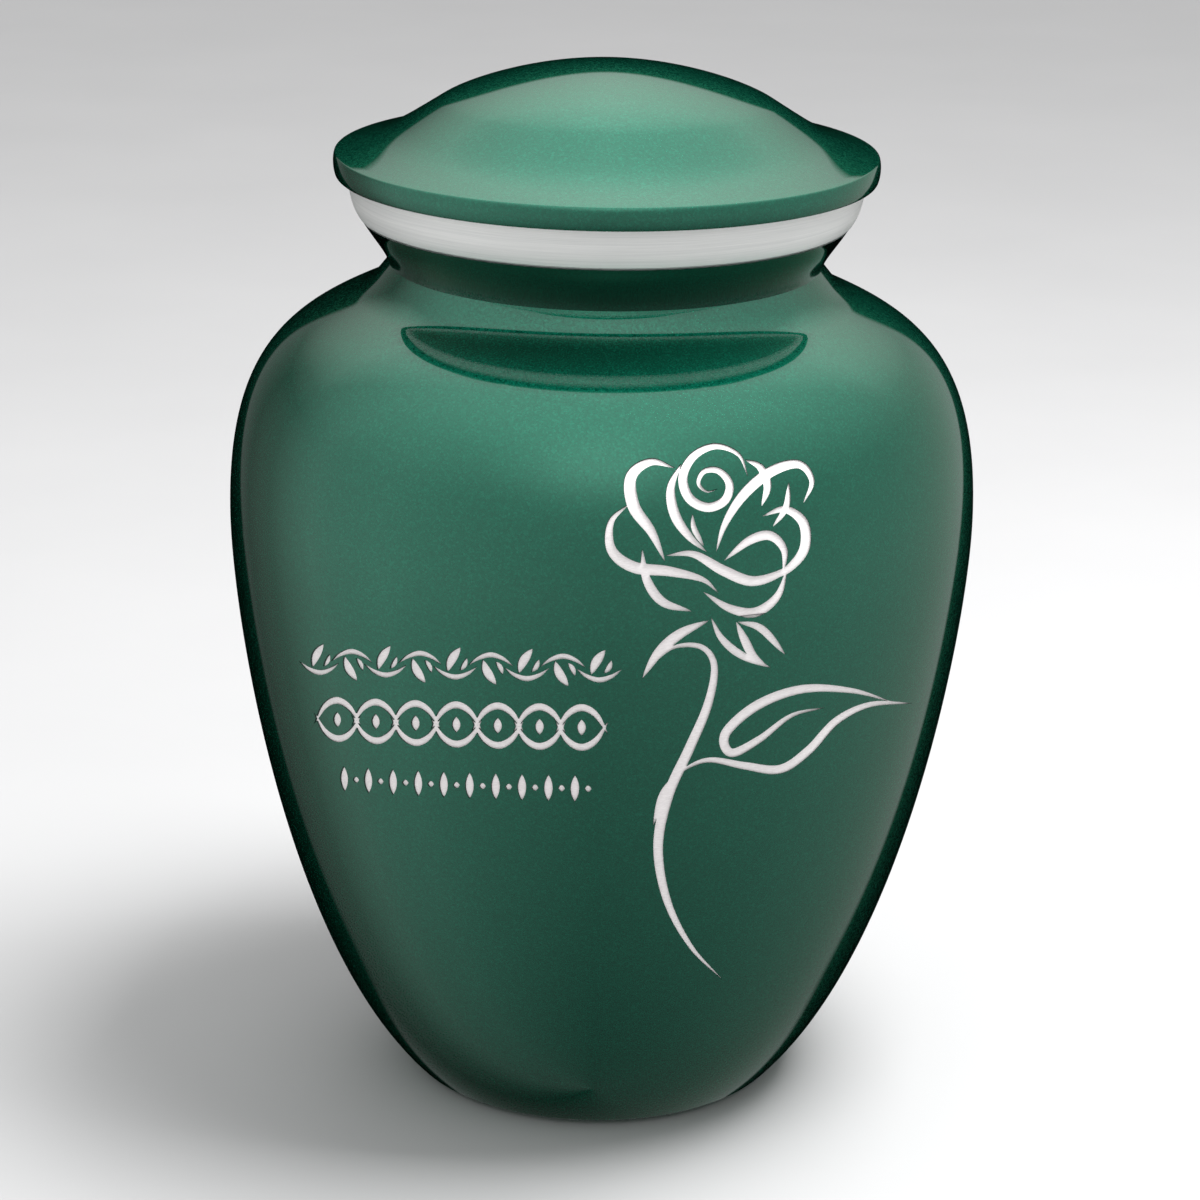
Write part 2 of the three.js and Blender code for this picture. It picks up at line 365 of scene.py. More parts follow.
def engraved_metal():
    """The groove floors: bright bare metal with the cutter's fine cross lines."""
    n = Nodes("engraved_bare_metal")
    lines = n.noise(n.stretched(900, 900, 5200))
    n.colour(lines, (0.25, (0.78, 0.745, 0.745)), (0.75, (0.96, 0.92, 0.92)))
    n.roughness(lines, 0.42, 0.6)
    n.set(Metallic=0.1)
    n.bump(lines, strength=0.3, distance=0.03 * MM)
    return n.material


def cut_edge_painted_shade():
    """The side of a groove: the cut edge of the enamel, coloured near black as painted shade in the
    groove.
    """
    n = Nodes("cut_enamel_edge_painted_shade")
    grain = n.noise(n.place, scale=3000)
    n.colour(grain, (0.3, (0.004, 0.02, 0.013)), (0.7, (0.012, 0.045, 0.032)))
    n.roughness(grain, 0.45, 0.7)
    return n.material


def brushed_ring_metal():
    """Metal brushed around the ring: streaks run level and are very fine in height."""
    n = Nodes("brushed_band_metal")
    fine = n.noise(n.stretched(55, 55, 9000), detail=4, roughness=0.65)
    broad = n.noise(n.stretched(18, 18, 1600), detail=3)
    both = n.math("ADD", n.math("MULTIPLY", fine, 0.65), n.math("MULTIPLY", broad, 0.35))
    n.colour(both, (0.3, (0.76, 0.77, 0.76)), (0.7, (1.0, 1.0, 0.985)))
    n.roughness(both, 0.24, 0.5)
    n.set(Metallic=0.3)
    n.bump(both, strength=0.25, distance=0.06 * MM)
    return n.material


def turned_metal(name, light, dark, spacing):
    """Bare metal off the lathe. The tool left fine rings, spacing metres apart."""
    n = Nodes(name)
    radius, height = n.radius_and_height()
    rings = n.new("ShaderNodeCombineXYZ")
    n.link(n.math("MULTIPLY", n.math("ADD", radius, height), 1 / spacing), rings.inputs["X"])
    cut = n.noise(rings.outputs[0], detail=3, roughness=0.6)
    stain = n.noise(n.place, scale=45, detail=4)
    both = n.math("ADD", n.math("MULTIPLY", cut, 0.6), n.math("MULTIPLY", stain, 0.4))
    n.colour(both, (0.3, dark), (0.7, light))
    n.roughness(both, 0.3, 0.55)
    n.set(Metallic=0.9)
    n.bump(cut, strength=0.2, distance=0.08 * MM)
    return n.material


def gasket_rubber():
    """Black rubber with a fine grain and a pale bloom in patches."""
    n = Nodes("gasket_rubber")
    grain = n.noise(n.place, scale=1400, detail=4)
    bloom = n.noise(n.place, scale=90, detail=3)
    n.colour(bloom, (0.35, (0.012, 0.012, 0.013)), (0.75, (0.035, 0.035, 0.036)))
    n.roughness(grain, 0.65, 0.9)
    n.bump(grain, strength=0.35, distance=0.1 * MM)
    return n.material


def base_felt_cloth():
    """Pressed felt: short fibres lying every way, with a soft sheen."""
    n = Nodes("base_felt_cloth")
    fibres = n.noise(n.stretched(2600, 700, 700), detail=3, roughness=0.7)
    across = n.noise(n.stretched(600, 2400, 700), detail=3, roughness=0.7)
    both = n.math("MULTIPLY", n.math("ADD", fibres, across), 0.5)
    n.colour(both, (0.3, (0.008, 0.024, 0.016)), (0.7, (0.03, 0.075, 0.05)))
    n.set(Roughness=0.95, Sheen_Weight=0.4, Sheen_Roughness=0.5)
    n.bump(both, strength=0.7, distance=0.3 * MM)
    return n.material


enamel = metallic_enamel("green_metallic_enamel", dark=(0.0013, 0.115, 0.068),
                         plain=(0.0017, 0.143, 0.084), flake=(0.006, 0.185, 0.111),
                         roughness=(0.10, 0.36))
# The neck's enamel is the green enamel made darker, as painted shade under the lid's overhang, with
# smoother flake.
neck_enamel_painted_shade = metallic_enamel("green_neck_painted_shade_enamel", dark=(0.0005, 0.060, 0.036),
                              plain=(0.0008, 0.075, 0.045), flake=(0.003, 0.100, 0.062),
                              roughness=(0.06, 0.14))
engraved = engraved_metal()
groove_side_painted_shade = cut_edge_painted_shade()
brushed = brushed_ring_metal()
spun_inside = turned_metal("spun_metal_inside", light=(0.60, 0.61, 0.62), dark=(0.40, 0.41, 0.42),
                           spacing=0.9 * MM)
bare_metal = turned_metal("turned_metal", light=(0.70, 0.71, 0.72), dark=(0.50, 0.51, 0.52),
                          spacing=0.35 * MM)
rubber = gasket_rubber()
felt = base_felt_cloth()

# The material slots of the two shells.
# The cut-edge slot carries near-black painted shade on the groove sides.
SHELL_ENAMEL, SHELL_INSIDE, SHELL_ENGRAVED, SHELL_CUT_EDGE_SHADE = range(4)
shell_materials = [enamel, spun_inside, engraved, groove_side_painted_shade]


# ---------------------------------------------------------------- the artwork

# The artwork is drawn flat, in millimetres: x across the front, h up. It is laid on the urn along
# lines that slope down to the back by ART_SLOPE, so rows that are level on the drawing dip
# towards the sides as they go round.
ART_SLOPE = math.radians(18.35)
ROSE_AT = (23.5, 128.0)
ROSE_BOLD = 1.25              # widens every stroke of the flower, its leaf and its stem
CUT_DEPTH = 0.34 * MM
CUT_RAKE = mm(0.13, -0.13)    # the groove's floor lies this far right of and below its rim

# Each stroke: full width, then its points, from the middle of the bloom, all in mm.
ROSE = [
    # the furled centre, opening into the left inner petal
    (1.7, (1.6, 9.0), (-0.8, 8.4), (-2.6, 10.2), (-1.4, 12.8), (1.8, 13.0), (4.2, 10.2), (3.2, 6.6),
     (-0.6, 5.0), (-4.6, 7.0), (-6.0, 11.6), (-3.6, 16.2), (1.2, 18.4), (6.2, 16.6), (8.2, 12.0)),
    (1.8, (-6.4, 14.4), (-8.6, 9.0), (-7.6, 3.2), (-4.4, -1.4), (-0.6, -4.6)),
    (1.0, (-3.8, 3.4), (-3.4, 0.4), (-1.2, -3.4)),
    # right inner petal
    (1.5, (7.6, 15.6), (11.0, 14.0), (12.6, 10.0), (11.4, 5.6)),
    (1.9, (20.8, 6.6), (22.6, 11.4), (19.6, 15.0), (13.4, 13.2), (7.4, 8.0), (3.4, 1.6), (1.6, -4.4)),
    # left outer petals
    (2.2, (-7.8, 13.4), (-13.0, 14.6), (-17.2, 11.4), (-16.6, 5.0), (-12.6, -0.6), (-9.6, -6.8)),
    (2.0, (-17.6, 5.4), (-21.4, 1.4), (-21.2, -4.6), (-16.4, -8.2), (-8.6, -9.0), (-1.4, -10.6),
     (2.2, -13.4)),
    # right outer petals
    (1.1, (17.4, 10.8), (16.8, 5.4), (14.0, 1.2)),
    (1.9, (11.6, 3.4), (16.6, 5.0), (20.8, 2.2), (21.2, -3.4), (17.8, -8.0), (13.6, -10.4)),
    (1.7, (3.4, -6.4), (8.8, -2.0), (13.4, -0.8), (16.6, -3.8), (16.6, -8.8)),
    (1.9, (-9.4, -5.6), (-3.4, -5.2), (3.2, -8.6), (9.8, -10.8), (16.4, -8.6), (19.4, -5.0)),
    # the cup under the petals
    (1.7, (-14.6, -4.4), (-13.6, -10.6), (-10.0, -15.6), (-3.6, -17.6)),
    (1.7, (-1.0, -13.4), (4.8, -16.8), (10.6, -17.6), (15.4, -14.0), (17.4, -8.2)),
]
LEAVES_AND_STEM = [
    # sepals
    (1.9, (0.2, -19.6), (-6.0, -22.6), (-10.6, -26.8), (-14.0, -32.4)),
    (1.4, (0.8, -19.0), (3.2, -23.4), (7.6, -27.0), (14.4, -29.8)),
    (1.6, (6.4, -19.8), (8.4, -23.8), (10.4, -27.2), (13.4, -29.4)),
    (1.4, (6.8, -19.8), (12.0, -21.2), (17.6, -26.8)),
    # stem
    (1.9, (-12.6, -30.0), (-7.4, -25.6), (-1.2, -25.4), (1.8, -29.6), (0.6, -38.2), (-3.2, -48.0),
     (-7.6, -58.6), (-9.6, -70.6), (-7.2, -83.4), (-1.4, -94.6), (6.2, -103.0)),
    (1.1, (-5.6, -53.4), (-9.0, -58.6), (-10.8, -65.6)),
    # leaf, its lower edge joined to the stem, and its middle vein
    (1.7, (-6.6, -55.4), (-3.6, -52.4), (1.6, -50.6), (9.6, -52.0), (17.6, -52.8), (24.0, -48.6),
     (30.4, -41.8), (38.6, -38.2), (49.0, -38.2)),
    (1.8, (43.4, -37.6), (33.6, -35.0), (22.0, -34.6), (11.8, -38.2), (4.8, -44.6), (6.2, -49.0),
     (12.4, -46.0), (19.6, -40.6), (27.2, -38.8)),
]


# The ornament's motifs. Each stroke: full width in mm, then its points, from the motif's middle, in
# pitches across and row heights up.
VINE = [
    (1.15, (-0.62, -0.02), (-0.34, -0.20), (0, -0.29), (0.34, -0.20), (0.62, -0.02)),
    (2.1, (-0.22, -0.16), (-0.10, 0.14), (0.16, 0.46)),
    (1.2, (0.14, -0.12), (0.27, 0.02), (0.34, 0.20)),
]
BRAID = [
    (1.6, (-0.62, -0.12), (-0.34, 0.27), (0, 0.42), (0.34, 0.27), (0.62, -0.12)),
    (1.6, (-0.62, 0.12), (-0.34, -0.27), (0, -0.42), (0.34, -0.27), (0.62, 0.12)),
    (2.0, (0, -0.17), (0, 0), (0, 0.17)),
]
BEADS = [
    (2.0, (0, -0.5), (0, 0), (0, 0.5)),
    (1.5, (0.37, 0), (0.5, 0), (0.63, 0)),
]
# Motif, the row's two ends, its middle and its height, all in mm, the pitch in row heights, and
# whether every second motif is upside down.
ROWS = [
    (VINE, -67.5, 4.0, 97.6, 8.8, 0.95, True),
    (BRAID, -64.0, 1.0, 84.4, 10.6, 0.9, False),
    (BEADS, -61.0, -2.0, 70.6, 6.0, 0.95, False),
]
KNOT_SAMPLES = 24             # samples between two points of a stroke
STROKE_STEP = 0.55            # mm between the points of a finished stroke
STROKE_TIP = 0.05             # half the width of a stroke's ends, in mm
STROKE_SHARP = 0.75           # under 1, a stroke is fuller towards its ends


def smooth_stroke(points):
    """A Catmull-Rom curve through the points, in even steps."""
    p = np.array(points, float)
    p = np.vstack([2 * p[0] - p[1], p, 2 * p[-1] - p[-2]])
    t = np.linspace(0, 1, KNOT_SAMPLES, endpoint=False)[:, None]
    bits = []
    for a, b, c, d in zip(p[:-3], p[1:-2], p[2:-1], p[3:]):
        bits.append(0.5 * (2 * b + (c - a) * t + (2 * a - 5 * b + 4 * c - d) * t ** 2
                           + (3 * b - a - 3 * c + d) * t ** 3))
    dense = np.vstack(bits + [p[-2:-1]])
    along = np.concatenate([[0], np.cumsum(np.linalg.norm(np.diff(dense, axis=0), axis=1))])
    even = np.linspace(0, along[-1], max(6, int(along[-1] / STROKE_STEP)))
    return np.stack([np.interp(even, along, dense[:, k]) for k in (0, 1)], 1)


def tapered(width, points):
    """The stroke's left and right edges. It is widest in the middle and ends in points."""
    middle = smooth_stroke(points)
    along = np.gradient(middle, axis=0)
    along /= np.linalg.norm(along, axis=1)[:, None]
    t = np.linspace(0, 1, len(middle))
    half = 0.5 * width * np.clip(np.sin(math.pi * t), 0, 1) ** STROKE_SHARP
    half = np.maximum(half, STROKE_TIP)[:, None]
    side = np.stack([-along[:, 1], along[:, 0]], 1)
    return middle + side * half, middle - side * half


def motif_row(motif, x_from, x_to, middle, height, pitch, alternate):
    """The strokes of a row that repeats a motif in equal steps."""
    count = round((x_to - x_from) / (pitch * height))
    step = (x_to - x_from) / count
    strokes = []
    for k in range(count):
        x = x_from + (k + 0.5) * step
        rise = -height if alternate and k % 2 else height
        for width, *points in motif:
            strokes.append((width, *((x + a * step, middle + b * rise) for a, b in points)))
    return strokes


def artwork():
    """Every stroke: its full width and its points, in mm on the drawing."""
    across, up = ROSE_AT
    strokes = []
    for width, *points in ROSE + LEAVES_AND_STEM:
        strokes.append((ROSE_BOLD * width, *((x + across, h + up) for x, h in points)))
    for row in ROWS:
        strokes += motif_row(*row)
    return strokes


# ---------------------------------------------------------------- the engraved skin

class Skin:
    """The outside of the two shells as one surface over (distance around, distance along)."""

    WIDE = 86 * MM            # radius at which distances around are measured
    PATCH_LOW, PATCH_HIGH = 38 * MM, 190 * MM
    PATCH_LEFT, PATCH_RIGHT = math.radians(-66), math.radians(72)

    def __init__(self):
        self.run = joined(BELLY, SHOULDER)
        steps = np.linalg.norm(np.diff(self.run, axis=0), axis=1)
        self.along = np.concatenate([[0], np.cumsum(steps)])
        self.normal = run_normals(self.run)
        self.angles = ring_angles()
        heights = self.run[:, 1]
        self.low = int(np.searchsorted(heights, self.PATCH_LOW))
        self.high = int(np.searchsorted(heights, self.PATCH_HIGH))
        self.seam = int(np.argmin(np.abs(heights - seam_z)))
        self.left = int(np.searchsorted(self.angles, self.PATCH_LEFT))
        self.right = int(np.searchsorted(self.angles, self.PATCH_RIGHT))

    def at(self, flat, depth=0.0):
        """Places and outward normals of points given as (distance around, distance along)."""
        flat = np.atleast_2d(flat)
        angle = flat[:, 0] / self.WIDE
        radius, height, nr, nz = (np.interp(flat[:, 1], self.along, values) for values in
                                  (*self.run.T, *self.normal.T))
        length = np.hypot(nr, nz)
        nr, nz = nr / length, nz / length
        places = around(radius - depth * nr, angle, height - depth * nz)
        return places, around(nr, angle, nz)

    def from_drawing(self, points):
        """Drawing points in mm as (distance around, distance along) on the skin."""
        x, h = np.asarray(points, float).T * MM
        height = h.copy()
        for _ in range(40):       # by then the height has settled
            radius = np.interp(height, self.run[:, 1], self.run[:, 0])
            front = np.sqrt(np.maximum(radius ** 2 - x ** 2, 1e-8))
            target = (h + front * math.sin(ART_SLOPE)) / math.cos(ART_SLOPE)
            height = 0.5 * height + 0.5 * target
        radius = np.interp(height, self.run[:, 1], self.run[:, 0])
        angle = np.arcsin(np.clip(x / radius, -1, 1))
        return np.stack([angle * self.WIDE, np.interp(height, self.run[:, 1], self.along)], 1)

    def patch_points(self):
        """Grid points of the patch that holds the artwork, and the edges round it and at the seam."""
        rows, columns = range(self.low, self.high + 1), range(self.left, self.right + 1)
        flat = [(self.angles[i] * self.WIDE, self.along[j]) for j in rows for i in columns]
        across = len(columns)
        down = len(rows)
        index = np.arange(across * down).reshape(down, across)
        loops = [index[0], index[-1], index[:, 0], index[:, -1], index[self.seam - self.low]]
        edges = [(int(a), int(b)) for loop in loops for a, b in zip(loop[:-1], loop[1:])]
        return flat, edges


skin = Skin()


def engraved_patch():
    """Splits the patch along the strokes' edges. Gives flat points, triangles, and which are cut."""
    flat, edges = skin.patch_points()
    cells = []
    for width, *points in artwork():
        left, right = tapered(width, points)
        start = len(flat)
        flat += [tuple(p) for p in skin.from_drawing(left)]
        flat += [tuple(p) for p in skin.from_drawing(right)]
        count = len(left)
        cells += [[start + count + k, start + count + k + 1, start + k + 1, start + k]
                  for k in range(count - 1)]
    triangles, nearest = 0, 1e-4      # the kind of output, and the points' least distance in mm
    points, _, faces, _, _, owners = delaunay_2d_cdt(
        [Vector(p) / MM for p in flat], edges, cells, triangles, nearest)
    points = np.array(points)[:, :2] * MM
    return points, np.array(faces), np.array([len(o) > 0 for o in owners])


def boundary_edges(faces, inside):
    """Edges of the inside triangles, in their own direction, whose other side isn't inside."""
    edges = {(int(a), int(b)) for face in faces[inside] for a, b in zip(face, np.roll(face, -1))}
    return np.array(sorted((a, b) for a, b in edges if (b, a) not in edges))


SLIVER = 1e-14                # patch triangles under half this area, in m2, are dropped


def add_patch(belly, shoulder):
    """Adds the engraved patch to the two shells, each getting what lies on its side of the seam."""
    flat, faces, inside = engraved_patch()
    a, b, c = (flat[faces[:, k]] for k in range(3))
    area = np.cross(b - a, c - a)
    faces = np.where(area[:, None] < 0, faces[:, ::-1], faces)
    keep = np.abs(area) > SLIVER
    faces, inside = faces[keep], inside[keep]
    top, top_normal = skin.at(flat)
    floor, floor_normal = skin.at(flat + CUT_RAKE, CUT_DEPTH)
    above = flat[faces].mean(axis=1)[:, 1] > skin.along[skin.seam]
    rims = boundary_edges(faces, inside)
    rims_above = flat[rims].mean(axis=1)[:, 1] > skin.along[skin.seam]
    for shape, mine, rims_mine in ((shoulder, above, rims_above), (belly, ~above, ~rims_above)):
        whole = faces[mine & ~inside]
        shape.add(top, whole, top_normal[whole], SHELL_ENAMEL)
        cut = faces[mine & inside]
        shape.add(floor, cut, floor_normal[cut], SHELL_ENGRAVED)
        walls = rims[rims_mine]
        start, end = walls.T
        corners = np.stack([top[start], top[end], floor[end], floor[start]], axis=1)
        facing = np.cross(corners[:, 1] - corners[:, 3], corners[:, 2] - corners[:, 0])
        facing = np.repeat(facing[:, None], 4, axis=1)
        shape.add(corners.reshape(-1, 3), np.arange(4 * len(walls)).reshape(-1, 4), facing,
                  SHELL_CUT_EDGE_SHADE)


def add_skin(shape, first, last):
    """Adds rows first to last of the skin, leaving out the patch."""
    run, angles = skin.run, skin.angles
    spans = [(first, last, skin.right, len(angles) - 1), (first, last, 0, skin.left)]
    if first < skin.low:
        spans.append((first, min(last, skin.low), skin.left, skin.right))
    if last > skin.high:
        spans.append((max(first, skin.high), last, skin.left, skin.right))
    for low, high, left, right in spans:
        turn(shape, run[low:high + 1], SHELL_ENAMEL, angles[left:right + 1])


# ---------------------------------------------------------------- the pieces of the urn

def belly_piece():
    """Lower shell: rounded foot, engraved outside, lap lip, bare inside, recessed foot hole."""
    shape = Shape()
    floor_z, rebate_z, lip_top = foot_z + 2.8 * MM, foot_z + 1.4 * MM, seam_z + 4 * MM
    hole, rebate, floor_edge, flat = mm(36, 40, 43, 44.5)
    inner = WIDEST - WALL
    lip = inner + 1.1 * MM
    foot_round = bezier(((flat, foot_z), (flat + 1.2 * MM, foot_z), (46.1 * MM, 1.6 * MM), BELLY[0]),
                        spacing=0.2 * MM)
    turn(shape, joined(line((rebate, foot_z), (flat, foot_z)), foot_round))
    add_skin(shape, 0, skin.seam)
    lap = corner_runs((WIDEST, seam_z), (lip, seam_z), (lip, lip_top), (inner, lip_top))
    turn_all(shape, lap, SHELL_INSIDE)
    inside = inset(BELLY, WALL)
    inside = inside[inside[:, 1] > floor_z + 1.2 * MM][::-1]
    bottom = bezier((inside[-1], inside[-1] - mm(1.4, 1.2), (46 * MM, floor_z), (floor_edge, floor_z)),
                    spacing=0.4 * MM)
    turn(shape, joined(line((inner, lip_top), inside[0]), inside, bottom), SHELL_INSIDE)
    foot_hole = corner_runs((floor_edge, floor_z), (hole, floor_z), (hole, rebate_z),
                            (rebate, rebate_z), (rebate, foot_z))
    turn_all(shape, foot_hole, SHELL_INSIDE)
    return shape


def shoulder_piece():
    """Upper shell: the round shoulder and the sweep to the neck, bare inside, lap recess below."""
    shape = Shape()
    add_skin(shape, skin.seam, len(skin.run) - 1)
    spigot_z, lap_top = neck_z - SPIGOT, seam_z + 4.3 * MM
    bore, inner = SHOULDER[-1][0] - WALL, WIDEST - WALL
    lap = inner + 1.4 * MM
    inside = inset(SHOULDER, WALL)
    inside = inside[(inside[:, 1] > lap_top + MM) & (inside[:, 1] < spigot_z - MM)][::-1]
    neck_end = corner_runs(SHOULDER[-1], (bore, neck_z), (bore, spigot_z), inside[0])
    turn_all(shape, neck_end, SHELL_INSIDE)
    turn(shape, joined(inside, line(inside[-1], (inner, lap_top))), SHELL_INSIDE)
    recess = corner_runs((inner, lap_top), (lap, lap_top), (lap, seam_z), (WIDEST, seam_z))
    turn_all(shape, recess, SHELL_INSIDE)
    return shape


def neck_piece():
    """Turned neck, enamelled where it shows, with the seat for the band and a bare bore."""
    top, ledge, lip_z, low = mouth_top_z, band_low[2] - 0.3 * MM, 207.3 * MM, neck_z - SPIGOT
    spigot, waist, flare_edge, seat, bore, lip = mm(48.3, 51, 57.5, 56.2, 46.9, 45)
    soft = 0.4 * MM
    flare = bezier(((waist, neck_z), mm(52, 206.5), mm(54.8, 209.3), (flare_edge, ledge)),
                   spacing=0.5 * MM)
    mouth = joined(
        line((seat, ledge), (seat, top - soft)),
        fillet((seat, top), (seat, ledge), (bore, top), soft),
        line((seat - soft, top), (bore + soft, top)),
        fillet((bore, top), (seat, top), (bore, lip_z), soft),
        line((bore, top - soft), (bore, lip_z)),
    )
    return turned_piece("enamelled_neck", [neck_enamel_painted_shade, bare_metal], [flare], [
        line((flare_edge, ledge), (seat, ledge)),
        mouth,
        *corner_runs((bore, lip_z), (lip, lip_z), (lip, low), (spigot, low), (spigot, neck_z),
                     (waist, neck_z)),
    ])


def band_piece():
    """The brushed band, with its edges just broken."""
    low, high = band_low[2], band_high[2]
    inner, soft = 56.5 * MM, 0.25 * MM
    face = bezier(((57.8 * MM, low), mm(59.2, 216), mm(60.1, 218.4), (60.6 * MM, high)),
                  spacing=0.3 * MM)
    outside = joined(fillet(face[0], (inner, low), face[2], soft), face[1:-1],
                     fillet(face[-1], face[-3], (inner, high), soft))
    return turned_piece("brushed_neck_band", [brushed], [
        outside,
        *corner_runs((face[-1][0] - soft, high), (inner, high), (inner, low),
                     (face[0][0] - soft, low)),
    ])


def ring_piece(name, node, inner, material):
    """A flat ring as wide and as high as its CAD node, with all four edges rounded."""
    (_, _, low), (outer, _, high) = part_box(node)
    corners = [(inner, low), (outer, low), (outer, high), (inner, high)]
    runs = [fillet(corners[k], corners[k - 1], corners[(k + 1) % 4], 0.3 * MM, count=5)
            for k in range(4)]
    return turned_piece(name, [material], [joined(*runs, runs[0][:1])])


# The screw thread of the mouth and the lid: two starts, with flat crests and sloping flanks.
THREAD_LEAD = 6 * MM
THREAD_DEPTH = 1.35 * MM
THREAD_ROOT = 0.75 * MM       # half the height of a ridge where it leaves the wall
THREAD_FLANK = 0.4 * MM       # height of each flank
THREAD_RUN_IN = 0.12          # share of a ridge's length over which it rises at each end
THREAD_FIRST_Z = 210.7 * MM
THREAD_SEGMENTS = 192
THREAD_ROW = 0.14 * MM        # height of the rows of faces


def thread_height(angle, height, first_angle, turns):
    """How far the thread stands out, from 0 to 1, at angles and heights on its wall."""
    best = np.zeros(np.broadcast(angle, height).shape)
    for start in (0, 1):
        for lap in range(-1, 3):
            climbed = (angle - first_angle - start * math.pi) / TURN + lap
            middle = THREAD_FIRST_Z + climbed * THREAD_LEAD
            rise = np.clip(np.minimum(climbed, turns - climbed) / (THREAD_RUN_IN * turns), 0, 1)
            flank = np.clip((THREAD_ROOT - np.abs(height - middle)) / THREAD_FLANK, 0, 1)
            best = np.maximum(best, rise * flank)
    return best


def turn_threaded(shape, radius, low, high, outward, first_angle, turns):
    """Adds a threaded cylinder wall. The ridges stand outwards or inwards."""
    angles = ring_angles(THREAD_SEGMENTS)
    heights = np.append(np.arange(low, high, THREAD_ROW), high)
    if not outward:
        heights = heights[::-1]
    sign = 1 if outward else -1
    about = angles[None, :] - math.pi / 2 + 0 * heights[:, None]
    reach = thread_height(about % TURN, heights[:, None], first_angle, turns)
    places = around(radius + sign * THREAD_DEPTH * reach, angles[None, :], heights[:, None])
    along_row = np.gradient(places, axis=1)
    along_row[:, 0] = along_row[:, -1] = places[:, 1] - places[:, -2]
    facing = np.cross(along_row, np.gradient(places, axis=0)).reshape(-1, 3)
    faces = grid_faces(len(heights), len(angles))
    shape.add(places.reshape(-1, 3), faces, facing[faces], 0)


def mouth_ring_piece():
    """The threaded ring pressed into the neck."""
    inner, outer, low, high, soft = mm(44.1, 46.6, 207.6, 221, 0.5)
    shape = Shape()
    turn_all(shape, corner_runs((inner, low), (outer, low), (outer, high)))
    turn(shape, joined(line((outer, high), (inner + soft, high)),
                       fillet((inner, high), (outer, high), (inner, low), soft)))
    turn_threaded(shape, inner, low, high - soft, outward=False, first_angle=0, turns=1.25)
    return shape.piece("mouth_thread", [bare_metal])


def lid_screw_piece():
    """The lid's screw tube, with its boss and flange."""
    inner, outer, boss, flange = mm(39.7, 42.3, 43.7, 47)
    low, thread_end, boss_z, flange_z, top = mm(209.5, 220.65, 222, 226, 227.5)
    soft = 0.4 * MM
    shape = Shape()
    turn(shape, line((inner, low), (outer - soft, low)))
    turn(shape, fillet((outer, low), (inner, low), (outer, boss_z), soft))
    turn_threaded(shape, outer, low + soft, thread_end, outward=True, first_angle=-math.pi / 2,
                  turns=1.0)
    turn_all(shape, corner_runs((outer, thread_end), (boss, boss_z), (boss, flange_z),
                                (flange, flange_z), (flange, top), (inner, top), (inner, low)))
    return shape.piece("lid_screw_tube", [bare_metal])


def lid_piece():
    """The domed lid: crown and flare, a crisp rim with a rolled edge, bare underneath."""
    rim, seat, ledge = mm(63.5, 61.3, 58.5)
    top, low, seat_z = 229 * MM, rim_low_z, 226 * MM
    bulge, soft_above, soft_below = rim + 0.5 * MM, 0.35 * MM, 0.4 * MM
    turning = mm(39.5, 240.5)     # where the crown bends over into the flare
    crown = bezier(((0, lid_top_z), (16.5 * MM, lid_top_z), mm(33.9, 244.1), turning))
    flare = bezier((turning, mm(51.3, 233), mm(51.8, 232.3), (rim, top)))
    outside = joined(crown, flare)
    side = bezier(((rim, top), (bulge, top - 1.2 * MM), (bulge, low + 1.6 * MM),
                   (rim - 0.2 * MM, low)), spacing=0.5 * MM)
    upper = fillet((rim, top), outside[-2], side[1], soft_above, count=9)
    lower = fillet(side[-1], side[-2], (seat, low), soft_below)
    over = joined(outside[:-1], upper, side[2:-1], lower)[::-1]
    inside = inset(outside, -LID_WALL)
    inside = inside[(inside[:, 0] > 0.4 * MM) & (inside[:, 0] < ledge)]
    inside = np.vstack([[(0, lid_top_z - LID_WALL)], inside])
    return turned_piece("enamelled_lid", [enamel, spun_inside], [over, line((seat, low), over[0])], [
        line((seat, seat_z), (seat, low)),
        line((ledge, seat_z), (seat, seat_z)),
        line(inside[-1], (ledge, seat_z)),
        inside,
    ])


def base_plate_piece():
    """The plug in the foot hole: a flange below and a boss above."""
    (_, _, low), (_, _, top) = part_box("base_plate")
    flange, boss, step = 39.7 * MM, 35.7 * MM, top - 2 * MM
    flange_soft, boss_soft = 0.2 * MM, 0.3 * MM
    return turned_piece("foot_plug_plate", [bare_metal], [
        line((0, low), (flange - flange_soft, low)),
        fillet((flange, low), (0, low), (flange, step), flange_soft),
        *corner_runs((flange, low + flange_soft), (flange, step), (boss, step),
                     (boss, top - boss_soft)),
        fillet((boss, top), (boss, step), (0, top), boss_soft),
        line((boss - boss_soft, top), (0, top)),
    ])


def felt_piece():
    """The felt pad, its cut edge slightly crushed."""
    radius, _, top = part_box("base_felt")[1]
    flat, soft = radius - 0.5 * MM, 0.45 * MM
    return turned_piece("foot_felt_pad", [felt], [joined(
        line((0, 0), (flat, 0)),
        fillet((radius, 0), (0, 0), (radius, top), soft),
        fillet((radius, top), (radius, 0), (0, top), soft),
        line((flat, top), (0, top)),
    )])


belly, shoulder = belly_piece(), shoulder_piece()
add_patch(belly, shoulder)

